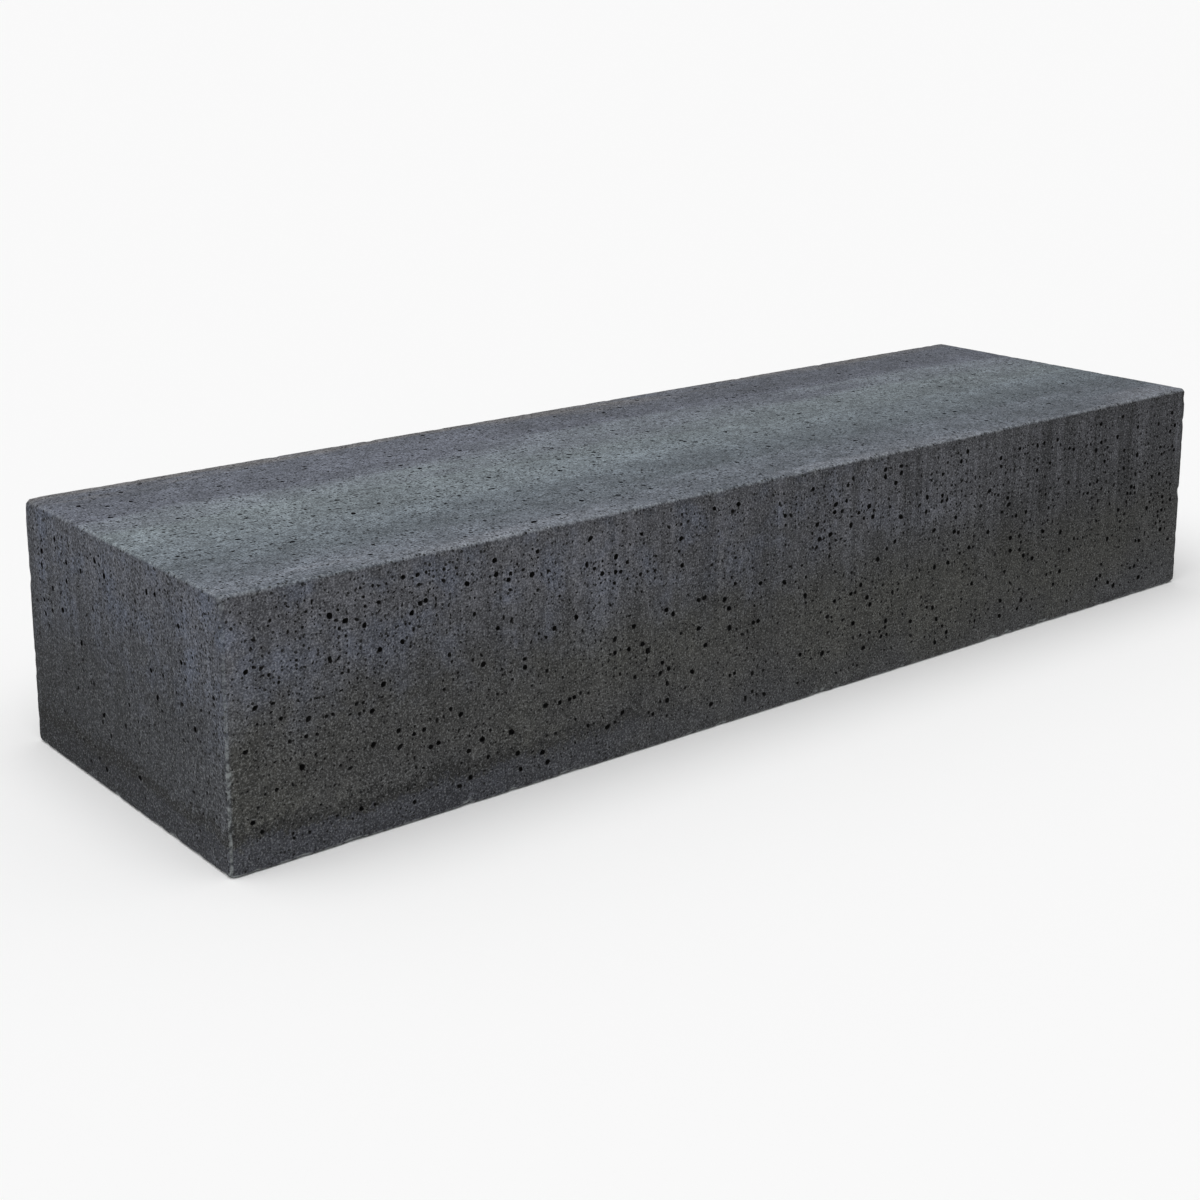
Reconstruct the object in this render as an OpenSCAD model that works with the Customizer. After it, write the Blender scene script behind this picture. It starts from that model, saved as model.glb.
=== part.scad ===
// Low rectangular precast concrete barrier block, with its cast-in reinforcement cage and sockets.
// Frame: millimetres, origin at the centre of the underside, +X along the length, -Y the front face, +Z up.

/* [Block] */
// Length of the block
block_l = 2000; // [1400:200:3000]
// Depth of the block, from front face to back face
block_w = 600; // [500:10:800]
// Height of the block
block_h = 375; // [300:5:500]
// Chamfer along every arris
arris = 5; // [2:1:10]

/* [Reinforcement cage] */
// Concrete cover over the stirrups
cover = 40; // [30:1:50]
// Diameter of the bars that run along the block
bar_d = 12; // [10:1:14]
// Diameter of the stirrups
stirrup_d = 8; // [6:1:8]
// Bend radius of a stirrup, to its centre line
bend_r = 20; // [18:1:24]
// Distance from one stirrup to the next
stirrup_pitch = 200; // [150:10:250]
// Straight tail after each hook
hook_tail = 60; // [50:5:80]
// Diameter of the annealed tie wire
wire_d = 1.6; // [1.2:0.2:1.6]

/* [Sockets in the underside] */
// Distance between the two sockets
socket_spacing = 1200; // [800:400:1200]
// Nominal thread diameter
thread_d = 20; // [16:2:20]
// Outside diameter of a socket
socket_d = 27; // [25:1:32]
// Length of a socket
socket_l = 100; // [90:5:120]
// Usable thread depth
thread_l = 65; // [50:5:70]
// Depth of the dish that the socket's mouth sits in
dish_h = 10; // [8:1:15]
// Diameter of the dish at the underside
dish_d = 50; // [45:1:60]
// Length of the bar through the socket's cross hole
cross_bar_l = 260; // [200:10:280]

/* [Spacers] */
// Thickness of a wheel spacer
wheel_h = 12; // [8:1:16]
// Size of a spacer block along the stirrup
block_spacer_l = 40; // [30:1:50]

/* [Hidden] */
$fn = 48;

stirrup_count = 2 * floor((block_l - 2 * cover - stirrup_pitch) / (2 * stirrup_pitch)) + 2;
bars_a_face = 4;
spacer_every = [2, 4, stirrup_count - 3, stirrup_count - 1];
sides = ["left", "right"];

function two_digits(i) = str(i < 10 ? "0" : "", i);

// Centre lines of a stirrup's legs
leg_y = block_w / 2 - cover - stirrup_d / 2;
leg_low = cover + stirrup_d / 2;
leg_high = block_h - cover - stirrup_d / 2;

// A bar lies inside a stirrup with this gap, filled with cement paste
paste_gap = 1;
bar_off_leg = (stirrup_d + bar_d) / 2 + paste_gap;
corner_in = bend_r - (bend_r - bar_off_leg) / sqrt(2);
bar_l = block_l - 2 * cover;

// A cap tie stands beside its stirrup
cap_offset = stirrup_d + 1;

dish_draft = 5; // the dish narrows by this much all round
cross_d = 10;
cross_hole_d = cross_d + 1;
cross_from_end = 15; // centre of the cross hole below the socket's closed end
cross_up = dish_h + socket_l - cross_from_end;

wheel_r = cover + stirrup_d / 2 - 1;
wheel_play = 0.6; // gap between a wheel's hub and the leg
wheel_hub_r = stirrup_d / 2 + wheel_play;
wheel_wall = 3;
wheel_z = block_h / 2;
saddle_h = 3;
saddle_play = 0.6; // the saddle is this much wider than the stirrup
spacer_y = leg_y * 0.62; // clear of the bars and the sockets

// A tie's loop stands off the pair of bars, and its twisted end leans
loop_off = 1.7;
twist_l = 14;
twist_r = wire_d * 0.85;
twist_lean = 25;

// Y of bar i, from the front: the outer bars sit in the bends, the others share the space between
function bar_y(i) = (leg_y - corner_in) * (2 * (i - 1) / (bars_a_face - 1) - 1);
function is_outer(i) = i == 1 || i == bars_a_face;
function bar_z(i, top) =
    let (inset = is_outer(i) ? corner_in : bar_off_leg)
    top ? leg_high - inset : leg_low + inset;

function stirrup_x(i) = (i - (stirrup_count + 1) / 2) * stirrup_pitch;
// Cap ties take turns: odd ones have their half-round hook at the front, even ones at the back
function hooks_at_front(i) = i % 2 == 1;

// --- concrete -------------------------------------------------------------------------------

module chamfered_bar(length, a, b) {
    c = arris;
    linear_extrude(height = length, center = true)
        polygon([
            [-a / 2 + c, -b / 2], [a / 2 - c, -b / 2], [a / 2, -b / 2 + c], [a / 2, b / 2 - c],
            [a / 2 - c, b / 2], [-a / 2 + c, b / 2], [-a / 2, b / 2 - c], [-a / 2, -b / 2 + c]]);
}

module block_outline() {
    translate([0, 0, block_h / 2])
        intersection() {
            rotate([90, 0, 90]) chamfered_bar(block_l, block_w, block_h);
            rotate([90, 0, 0]) chamfered_bar(block_w, block_l, block_h);
            chamfered_bar(block_h, block_l, block_w);
        }
}

module socket_dish(side) {
    translate([socket_x(side), 0, 0])
        cylinder(h = dish_h, r1 = dish_d / 2, r2 = dish_d / 2 - dish_draft);
}

module concrete_block() {
    color("dimgray")
        difference() {
            block_outline();
            for (i = [1 : bars_a_face], top = [false, true]) long_bar(i, top);
            for (i = [1 : stirrup_count]) {
                stirrup(i);
                cap_tie(i);
            }
            at_side_spacers() wheel_outline();
            at_bottom_spacers() block_spacer_outline();
            for (s = sides) {
                socket_dish(s);
                socket_outline(s);
                socket_cross_bar(s);
            }
        }
}

// --- cage -----------------------------------------------------------------------------------

module long_bar(i, top) {
    color("sienna")
        translate([-bar_l / 2, bar_y(i), bar_z(i, top)])
            rotate([0, 90, 0]) cylinder(h = bar_l, d = bar_d);
}

// Draws in a plane and stands it up across the block: x becomes Y and y becomes Z
module across() {
    rotate([90, 0, 90]) children();
}

module leg(from, to) {
    run = to - from;
    translate([from[0], from[1], 0])
        rotate([0, 0, atan2(run[1], run[0])])
            rotate([0, 90, 0]) cylinder(h = norm(run), d = stirrup_d);
}

module bend(centre, start, turn) {
    translate([centre[0], centre[1], 0])
        rotate([0, 0, start])
            rotate_extrude(angle = turn) translate([bend_r, 0]) circle(d = stirrup_d);
}

// One bar bent to a U, with a half-round hook round each top corner bar
module stirrup(i) {
    y = leg_y - bend_r;
    low = leg_low + bend_r;
    high = leg_high - bend_r;
    hook_y = y - bend_r;
    color("peru")
        translate([stirrup_x(i), 0, 0])
            across() {
                leg([-y, leg_low], [y, leg_low]);
                for (side = [0, 1])
                    mirror([side, 0, 0]) {
                        bend([-y, low], 180, 90);
                        leg([-leg_y, low], [-leg_y, high]);
                        bend([-y, high], 0, 180);
                        leg([-hook_y, high], [-hook_y, high - hook_tail]);
                    }
            }
}

// The bar that closes a stirrup: a half-round hook at one end and a square one at the other
module cap_tie(i) {
    y = leg_y - bend_r;
    high = leg_high - bend_r;
    hook_z = high - bend_r;
    color("peru")
        translate([stirrup_x(i) + cap_offset, 0, 0])
            mirror([0, hooks_at_front(i) ? 0 : 1, 0])
                across() {
                    leg([-y, hook_z], [-y + hook_tail, hook_z]);
                    bend([-y, high], 90, 180);
                    leg([-y, leg_high], [y, leg_high]);
                    bend([y, high], 0, 90);
                    leg([leg_y, high], [leg_y, high - hook_tail]);
                }
}

// A snap tie: a loop of wire, askew over the crossing of a bar and a stirrup, with its twisted end.
// Drawn for a bar along X at the origin with the stirrup below it.
module tie() {
    loop_r = (bar_d + stirrup_d + paste_gap) / 2 + loop_off;
    loop_down = (stirrup_d + paste_gap) / 2;
    translate([0, 0, -loop_down]) {
        rotate([90, 0, 45])
            rotate_extrude() translate([loop_r, 0]) circle(d = wire_d);
        rotate([0, twist_lean, 45])
            translate([0, 0, loop_r]) cylinder(h = twist_l, r = twist_r);
    }
}

// Each bottom bar is tied to each stirrup, and each inner top bar to each cap tie. The hooks hold
// the outer top bars. The tie turns so that the bent bar is below, outside or above the long bar.
module tie_wires() {
    color("dimgray")
        for (n = [1 : stirrup_count], i = [1 : bars_a_face]) {
            translate([stirrup_x(n), bar_y(i), bar_z(i, false)])
                rotate([is_outer(i) ? (i == 1 ? -45 : 45) : 0, 0, 0]) tie();
            if (!is_outer(i))
                translate([stirrup_x(n) + cap_offset, bar_y(i), bar_z(i, true)])
                    rotate([180, 0, 0]) tie();
        }
}

// --- spacers --------------------------------------------------------------------------------

// A wheel of rim, hub and spokes, with nothing taken out of the hub
module wheel_outline() {
    linear_extrude(height = wheel_h, center = true)
        difference() {
            circle(r = wheel_r);
            difference() {
                circle(r = wheel_r - wheel_wall);
                circle(r = wheel_hub_r + wheel_wall);
                for (a = [30 : 60 : 330])
                    rotate(a) translate([0, -wheel_wall / 2]) square([wheel_r, wheel_wall]);
            }
        }
}

// A plastic wheel, clipped on an upright leg and open towards the core
module wheel_spacer() {
    slot_w = stirrup_d - 2;
    difference() {
        wheel_outline();
        cylinder(h = 2 * wheel_h, r = wheel_hub_r, center = true);
        translate([0, -slot_w / 2, -wheel_h]) cube([2 * wheel_r, slot_w, 2 * wheel_h]);
    }
}

// Places a wheel on both upright legs of each stirrup that carries spacers
module at_side_spacers() {
    for (n = spacer_every, front = [true, false])
        translate([stirrup_x(n), (front ? -1 : 1) * leg_y, wheel_z])
            rotate([0, 0, front ? 90 : -90]) children();
}

module side_spacers() {
    color("gainsboro") at_side_spacers() wheel_spacer();
}

module block_spacer_outline() {
    translate([-block_spacer_l / 2, -block_spacer_l / 2, 0])
        cube([block_spacer_l, block_spacer_l, cover + saddle_h]);
}

// A fibre concrete block with a saddle for the stirrup
module block_spacer() {
    difference() {
        block_spacer_outline();
        translate([0, -block_spacer_l, leg_low])
            rotate([-90, 0, 0]) cylinder(h = 2 * block_spacer_l, d = stirrup_d + saddle_play);
    }
}

module at_bottom_spacers() {
    for (n = spacer_every, side = [-1, 1])
        translate([stirrup_x(n), side * spacer_y, 0]) children();
}

module bottom_spacers() {
    color("darkgray") at_bottom_spacers() block_spacer();
}

// --- sockets --------------------------------------------------------------------------------

function socket_x(side) = (side == "left" ? -1 : 1) * socket_spacing / 2;

module socket_outline(side) {
    translate([socket_x(side), 0, dish_h]) cylinder(h = socket_l, d = socket_d);
}

module lifting_socket(side) {
    color("silver")
        difference() {
            socket_outline(side);
            translate([socket_x(side), 0, dish_h - 1]) cylinder(h = thread_l + 1, d = thread_d);
            translate([socket_x(side), 0, cross_up])
                rotate([90, 0, 0]) cylinder(h = 2 * socket_d, d = cross_hole_d, center = true);
        }
}

module socket_cross_bar(side) {
    color("sienna")
        translate([socket_x(side), 0, cross_up])
            rotate([90, 0, 0]) cylinder(h = cross_bar_l, d = cross_d, center = true);
}

// --- nodes ----------------------------------------------------------------------------------

concrete_block();
for (i = [1 : bars_a_face]) {
    long_bar(i, false);
    long_bar(i, true);
}
for (i = [1 : stirrup_count]) {
    stirrup(i);
    cap_tie(i);
}
tie_wires();
side_spacers();
bottom_spacers();
for (s = sides) {
    lifting_socket(s);
    socket_cross_bar(s);
}
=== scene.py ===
import math
import random

import bmesh
import bpy
from mathutils import Matrix, Vector, kdtree, noise


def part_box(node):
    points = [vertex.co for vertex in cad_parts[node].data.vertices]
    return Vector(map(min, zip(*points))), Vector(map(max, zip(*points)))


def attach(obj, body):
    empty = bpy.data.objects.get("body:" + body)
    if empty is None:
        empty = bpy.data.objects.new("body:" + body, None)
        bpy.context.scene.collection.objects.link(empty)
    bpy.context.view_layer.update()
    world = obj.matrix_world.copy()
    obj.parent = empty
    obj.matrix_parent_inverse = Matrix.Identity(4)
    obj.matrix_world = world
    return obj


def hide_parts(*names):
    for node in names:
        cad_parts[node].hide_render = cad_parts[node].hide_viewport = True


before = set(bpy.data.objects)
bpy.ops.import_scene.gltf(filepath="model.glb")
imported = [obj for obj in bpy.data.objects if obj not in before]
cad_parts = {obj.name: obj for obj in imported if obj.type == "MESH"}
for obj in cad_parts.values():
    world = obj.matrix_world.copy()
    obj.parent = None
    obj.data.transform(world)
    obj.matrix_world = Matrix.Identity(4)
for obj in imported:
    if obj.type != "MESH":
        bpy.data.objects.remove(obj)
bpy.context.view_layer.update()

# A precast barrier block of dark concrete, cast round a cage of ribbed bar.
# +X runs along the block, -Y is its front, +Z is up and the floor is at zero.

blockLow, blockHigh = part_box("concrete_block")
blockLength, blockDepth, blockHeight = blockHigh - blockLow
blockMiddle = (blockLow + blockHigh) / 2


cameraSettings = {
    "azimuth": -38.87,  # degrees round the block, and 0 looks straight at the front
    "elevation": 12.08,  # degrees above the horizon
    "distance": 3.233,  # metres from the lens to the aim
    "aim": (-0.0325, 0.197, 1.137),  # shares of length, depth and height from the middle of the underside
    "lens": 57.7,  # mm on a 36 mm sensor
    "shiftY": -1 / 6,  # drops the frame below the lens axis
}


def makeCamera(settings):
    turn = math.radians(settings["azimuth"])
    rise = math.radians(settings["elevation"])
    back = Vector((math.sin(turn) * math.cos(rise), -math.cos(turn) * math.cos(rise), math.sin(rise)))
    share = settings["aim"]
    aim = Vector((share[0] * blockLength, share[1] * blockDepth, share[2] * blockHeight))
    lens = bpy.data.cameras.new("camera")
    lens.lens = settings["lens"]
    lens.sensor_width = 36
    lens.shift_y = settings["shiftY"]
    camera = bpy.data.objects.new("camera", lens)
    camera.location = aim + back * settings["distance"]
    camera.rotation_mode = "QUATERNION"
    camera.rotation_quaternion = (-back).to_track_quat("-Z", "Y")
    bpy.context.scene.collection.objects.link(camera)
    bpy.context.scene.camera = camera


makeCamera(cameraSettings)
print("camera set")


def srgb(code):  # hex such as "6b7076" to linear
    steps = [int(code[i:i + 2], 16) / 255 for i in (0, 2, 4)]
    return [s / 12.92 if s <= 0.04045 else ((s + 0.055) / 1.055) ** 2.4 for s in steps] + [1]


def addNode(tree, kind, settings=None, links=None):
    node = tree.nodes.new(kind)
    for name, value in (settings or {}).items():
        if name == "stops":  # places and colours along a ramp
            marks = node.color_ramp.elements
            for position, _ in value[1:-1]:
                marks.new(position)
            for mark, (position, colour) in zip(marks, value):
                mark.position, mark.color = position, srgb(colour)
        elif isinstance(name, str) and hasattr(node, name):
            setattr(node, name, value)
        else:
            node.inputs[name].default_value = value
    for name, source in (links or {}).items():
        tree.links.new(source, node.inputs[name])
    return node


def newMaterial(name):
    material = bpy.data.materials.new(name)
    material.use_nodes = True
    material.node_tree.nodes.clear()
    return material, material.node_tree


def closeMaterial(tree, settings, links):
    shader = addNode(tree, "ShaderNodeBsdfPrincipled", settings, links)
    addNode(tree, "ShaderNodeOutputMaterial", None, {"Surface": shader.outputs[0]})


def makeObject(bm, name, material):
    mesh = bpy.data.meshes.new(name)
    bm.to_mesh(mesh)
    bm.free()
    mesh.materials.append(material)
    piece = bpy.data.objects.new(name, mesh)
    bpy.context.scene.collection.objects.link(piece)
    return piece


def longEdges(bm, axis, least):  # edges along one axis and at least this long
    others = [i for i in range(3) if i != axis]
    return [
        e for e in bm.edges
        if abs(e.verts[0].co[axis] - e.verts[1].co[axis]) > least
        and all(abs(e.verts[0].co[i] - e.verts[1].co[i]) < 1e-6 for i in others)
    ]


concreteSettings = {
    "side": (  # up a side, from its foot to its upper arris, darker towards the foot partly as painted shade
        (0.0, "4a4b4d"), (0.25, "494948"), (0.45, "4a4a49"),
        (0.6, "545559"), (0.85, "626369"), (1.0, "5e5f64")),
    "top": (  # over the top, from the front arris to the back one; paler and bluer than the sides, partly painted light from overhead and a painted sky reflection
        (0.0, "787c84"), (0.07, "6c727b"), (0.24, "646c73"), (0.34, "747d84"),
        (0.54, "7a8388"), (0.68, "767c85"), (0.74, "666a75"), (0.93, "636771"), (1.0, "737274")),
    "blue": "545a68",  # cement bloom on the sides
    "olive": "474742",  # damp staining low down
    "foot": "45474e",  # smoother paste along the foot
    "footLine": "2e2e2d",
    "arris": "8d9292",
    "fleck": "8d9091",
    # near black: painted shade inside the air holes and the small pores
    "pit": "090909",
    "grainMm": 3.0,
    "flockMm": 9,
    "poreMm": 6.4,
    "streakMm": 14,
    "patchMm": 70,
    "cloudMm": 260,
}


def makeConcrete(settings):
    # Precast concrete with a dark cement, cast in a steel mould: matt, mottled, full of air holes,
    # streaked down its sides where paste ran, and pale where its arrises are rubbed.
    material, tree = newMaterial("precastConcreteCharcoal")
    place = addNode(tree, "ShaderNodeTexCoord").outputs["Object"]
    x, y, z = addNode(tree, "ShaderNodeSeparateXYZ", None, {0: place}).outputs

    # noise of each size, and two drawn out one way
    cloud = addNode(tree, "ShaderNodeTexNoise", {
        "Scale": 1000 / settings["cloudMm"], "Detail": 6, "Roughness": 0.6}, {"Vector": place}).outputs[0]
    moved = addNode(tree, "ShaderNodeMapping", {"Location": (3.1, 1.7, 0.4)}, {0: place}).outputs[0]
    patch = addNode(tree, "ShaderNodeTexNoise", {
        "Scale": 1000 / settings["patchMm"], "Detail": 4, "Roughness": 0.55}, {"Vector": moved}).outputs[0]
    drawnDown = addNode(tree, "ShaderNodeMapping", {"Scale": (1, 1, 0.05)}, {0: place}).outputs[0]
    streak = addNode(tree, "ShaderNodeTexNoise", {
        "Scale": 1000 / settings["streakMm"], "Detail": 4, "Roughness": 0.62,
    }, {"Vector": drawnDown}).outputs[0]
    drawnAlong = addNode(tree, "ShaderNodeMapping", {
        "Scale": (0.14, 1, 1), "Location": (0.7, 0.3, 0)}, {0: place}).outputs[0]
    smear = addNode(tree, "ShaderNodeTexNoise", {
        "Scale": 1000 / settings["patchMm"], "Detail": 5, "Roughness": 0.6,
    }, {"Vector": drawnAlong}).outputs[0]
    flock = addNode(tree, "ShaderNodeTexNoise", {
        "Scale": 1000 / settings["flockMm"], "Detail": 3, "Roughness": 0.6}, {"Vector": place}).outputs[0]
    grain = addNode(tree, "ShaderNodeTexNoise", {
        "Scale": 1000 / settings["grainMm"], "Detail": 3, "Roughness": 0.7}, {"Vector": place}).outputs[0]

    # where a point is: on the top or an end, and its share of the height, length and depth
    isTop = addNode(tree, "ShaderNodeMapRange", {
        "interpolation_type": "SMOOTHSTEP", 1: blockHeight - 0.006, 2: blockHeight - 0.0015,
    }, {0: z}).outputs[0]
    fromMiddle = addNode(tree, "ShaderNodeMath", {"operation": "ABSOLUTE"}, {0: x}).outputs[0]
    isEnd = addNode(tree, "ShaderNodeMapRange", {
        "interpolation_type": "SMOOTHSTEP", 1: blockHigh.x - 0.007, 2: blockHigh.x - 0.002,
    }, {0: fromMiddle}).outputs[0]
    up = addNode(tree, "ShaderNodeMapRange", {1: 0, 2: blockHeight}, {0: z}).outputs[0]
    along = addNode(tree, "ShaderNodeMapRange", {1: blockLow.x, 2: blockHigh.x}, {0: x}).outputs[0]
    across = addNode(tree, "ShaderNodeMapRange", {1: blockLow.y, 2: blockHigh.y}, {0: y}).outputs[0]

    # the sides: a colour that changes with height, darker low down partly as painted shade, its line broken
    # by clouds and patches
    wander = addNode(tree, "ShaderNodeMath", {"operation": "ADD"}, {0: cloud, 1: patch}).outputs[0]
    height = addNode(tree, "ShaderNodeMath", {
        "operation": "MULTIPLY_ADD", 1: 0.4}, {0: wander, 2: up}).outputs[0]
    height = addNode(tree, "ShaderNodeMath", {"operation": "SUBTRACT", 1: 0.4}, {0: height}).outputs[0]
    side = addNode(tree, "ShaderNodeValToRGB", {"stops": settings["side"]}, {0: height}).outputs[0]

    # blue bloom on patches near the top of the left part
    bloomPatch = addNode(tree, "ShaderNodeMapRange", {
        "interpolation_type": "SMOOTHSTEP", 1: 0.42, 2: 0.66, 4: 0.6}, {0: patch}).outputs[0]
    bloomUp = addNode(tree, "ShaderNodeMapRange", {1: 0.35, 2: 0.75}, {0: up}).outputs[0]
    bloomAlong = addNode(tree, "ShaderNodeMapRange", {1: 0.45, 2: 0.75, 3: 1, 4: 0}, {0: along}).outputs[0]
    bloom = addNode(tree, "ShaderNodeMath", {
        "operation": "MULTIPLY"}, {0: bloomPatch, 1: bloomUp}).outputs[0]
    bloom = addNode(tree, "ShaderNodeMath", {"operation": "MULTIPLY"}, {0: bloom, 1: bloomAlong}).outputs[0]
    bloom = addNode(tree, "ShaderNodeMath", {
        "operation": "MULTIPLY_ADD", 1: 0.35, "use_clamp": True}, {0: isEnd, 2: bloom}).outputs[0]
    side = addNode(tree, "ShaderNodeMix", {
        "data_type": "RGBA", 7: srgb(settings["blue"])}, {0: bloom, 6: side}).outputs[2]

    # olive damp on clouds low down, hardly any of it on the ends
    dampCloud = addNode(tree, "ShaderNodeMapRange", {
        "interpolation_type": "SMOOTHSTEP", 1: 0.42, 2: 0.62, 4: 0.65}, {0: cloud}).outputs[0]
    dampUp = addNode(tree, "ShaderNodeMapRange", {1: 0.7, 2: 0.4}, {0: up}).outputs[0]
    dampEnd = addNode(tree, "ShaderNodeMapRange", {3: 1, 4: 0.1}, {0: isEnd}).outputs[0]
    damp = addNode(tree, "ShaderNodeMath", {"operation": "MULTIPLY"}, {0: dampCloud, 1: dampUp}).outputs[0]
    damp = addNode(tree, "ShaderNodeMath", {"operation": "MULTIPLY"}, {0: damp, 1: dampEnd}).outputs[0]
    side = addNode(tree, "ShaderNodeMix", {
        "data_type": "RGBA", 7: srgb(settings["olive"])}, {0: damp, 6: side}).outputs[2]

    # the sides' brightness: runs of paste, then painted shade, darker towards the right and towards the
    # back of the ends, and low down on the ends
    run = addNode(tree, "ShaderNodeMapRange", {1: 0.3, 2: 0.7, 3: -0.26, 4: 0.26}, {0: streak}).outputs[0]
    runUp = addNode(tree, "ShaderNodeMapRange", {1: 0.1, 2: 0.7, 3: 0.2, 4: 1}, {0: up}).outputs[0]
    run = addNode(tree, "ShaderNodeMath", {
        "operation": "MULTIPLY_ADD", 2: 0.87}, {0: run, 1: runUp}).outputs[0]
    # painted shade on the sides: darker towards the right, most in their upper part
    paintedShade = addNode(tree, "ShaderNodeMapRange", {1: 0, 2: 0.6, 3: -0.03, 4: -0.52}, {0: up}).outputs[0]
    paintedShade = addNode(tree, "ShaderNodeMath", {"operation": "MULTIPLY"}, {0: paintedShade, 1: along}).outputs[0]
    # painted shade on the ends: darker towards the back, more so low down, and darker low down
    endBack = addNode(tree, "ShaderNodeMapRange", {3: -0.48, 4: -0.1}, {0: up}).outputs[0]
    endUp = addNode(tree, "ShaderNodeMapRange", {1: 0.5, 2: 0.95, 3: -0.23, 4: 0.05}, {0: up}).outputs[0]
    endPaintedShade = addNode(tree, "ShaderNodeMath", {
        "operation": "MULTIPLY_ADD"}, {0: endBack, 1: across, 2: endUp}).outputs[0]
    paintedShade = addNode(tree, "ShaderNodeMix", {
        "data_type": "FLOAT"}, {0: isEnd, 2: paintedShade, 3: endPaintedShade}).outputs[0]
    sideGain = addNode(tree, "ShaderNodeMath", {"operation": "ADD"}, {0: run, 1: paintedShade}).outputs[0]
    # a painted shadow line just under the upper arris
    shadowUnderArris = addNode(tree, "ShaderNodeMapRange", {1: 0.94, 2: 0.985, 3: 1, 4: 0.84}, {0: up}).outputs[0]
    sideGain = addNode(tree, "ShaderNodeMath", {
        "operation": "MULTIPLY"}, {0: sideGain, 1: shadowUnderArris}).outputs[0]

    # the foot: smoother paste under a ragged dark line, worn away towards the right
    ragged = addNode(tree, "ShaderNodeMath", {"operation": "ADD"}, {0: patch, 1: flock}).outputs[0]
    footUp = addNode(tree, "ShaderNodeMath", {
        "operation": "MULTIPLY_ADD", 1: 0.16}, {0: ragged, 2: up}).outputs[0]
    footAlong = addNode(tree, "ShaderNodeMath", {
        "operation": "MULTIPLY_ADD", 1: 0.4}, {0: cloud, 2: along}).outputs[0]
    footPart = addNode(tree, "ShaderNodeMapRange", {
        "interpolation_type": "SMOOTHSTEP", 1: 0.4, 2: 0.6, 3: 1, 4: 0.1}, {0: footAlong}).outputs[0]
    paste = addNode(tree, "ShaderNodeMapRange", {
        "interpolation_type": "SMOOTHSTEP", 1: 0.32, 2: 0.27, 4: 0.85}, {0: footUp}).outputs[0]
    paste = addNode(tree, "ShaderNodeMath", {"operation": "MULTIPLY"}, {0: paste, 1: footPart}).outputs[0]
    side = addNode(tree, "ShaderNodeMix", {
        "data_type": "RGBA", 7: srgb(settings["foot"])}, {0: paste, 6: side}).outputs[2]
    lineLow = addNode(tree, "ShaderNodeMapRange", {
        "interpolation_type": "SMOOTHSTEP", 1: 0.27, 2: 0.3}, {0: footUp}).outputs[0]
    lineHigh = addNode(tree, "ShaderNodeMapRange", {
        "interpolation_type": "SMOOTHSTEP", 1: 0.37, 2: 0.31, 4: 0.85}, {0: footUp}).outputs[0]
    line = addNode(tree, "ShaderNodeMath", {"operation": "MULTIPLY"}, {0: lineLow, 1: lineHigh}).outputs[0]
    line = addNode(tree, "ShaderNodeMath", {"operation": "MULTIPLY"}, {0: line, 1: footPart}).outputs[0]
    side = addNode(tree, "ShaderNodeMix", {
        "data_type": "RGBA", 7: srgb(settings["footLine"])}, {0: line, 6: side}).outputs[2]

    # the top: bands along the block, smeared lengthwise by the float, and dimmer towards the right
    bandShift = addNode(tree, "ShaderNodeMapRange", {
        1: 0.3, 2: 0.7, 3: -0.09, 4: 0.09}, {0: smear}).outputs[0]
    band = addNode(tree, "ShaderNodeMath", {"operation": "ADD"}, {0: across, 1: bandShift}).outputs[0]
    top = addNode(tree, "ShaderNodeValToRGB", {"stops": settings["top"]}, {0: band}).outputs[0]
    smearGain = addNode(tree, "ShaderNodeMapRange", {
        1: 0.3, 2: 0.7, 3: 1.09, 4: 0.84}, {0: smear}).outputs[0]
    alongGain = addNode(tree, "ShaderNodeMapRange", {1: 0, 2: 1, 3: 1.02, 4: 0.82}, {0: along}).outputs[0]
    topGain = addNode(tree, "ShaderNodeMath", {
        "operation": "MULTIPLY"}, {0: smearGain, 1: alongGain}).outputs[0]

    # both together, with clouds, patches, flecks and grains of light and dark paste
    # the top's paler, bluer colour is partly painted overhead light and painted sky reflection
    colour = addNode(tree, "ShaderNodeMix", {"data_type": "RGBA"}, {0: isTop, 6: side, 7: top}).outputs[2]
    gain = addNode(tree, "ShaderNodeMix", {
        "data_type": "FLOAT"}, {0: isTop, 2: sideGain, 3: topGain}).outputs[0]
    for source, low, high, least, most in (
            (cloud, 0.3, 0.7, 0.88, 1.12), (patch, 0.36, 0.64, 0.82, 1.12),
            (flock, 0.36, 0.64, 0.7, 1.3), (grain, 0.38, 0.62, 0.45, 1.6)):
        share = addNode(tree, "ShaderNodeMapRange", {
            1: low, 2: high, 3: least, 4: most}, {0: source}).outputs[0]
        gain = addNode(tree, "ShaderNodeMath", {"operation": "MULTIPLY"}, {0: gain, 1: share}).outputs[0]
    colour = addNode(tree, "ShaderNodeVectorMath", {"operation": "SCALE"}, {0: colour, 3: gain}).outputs[0]
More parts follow.
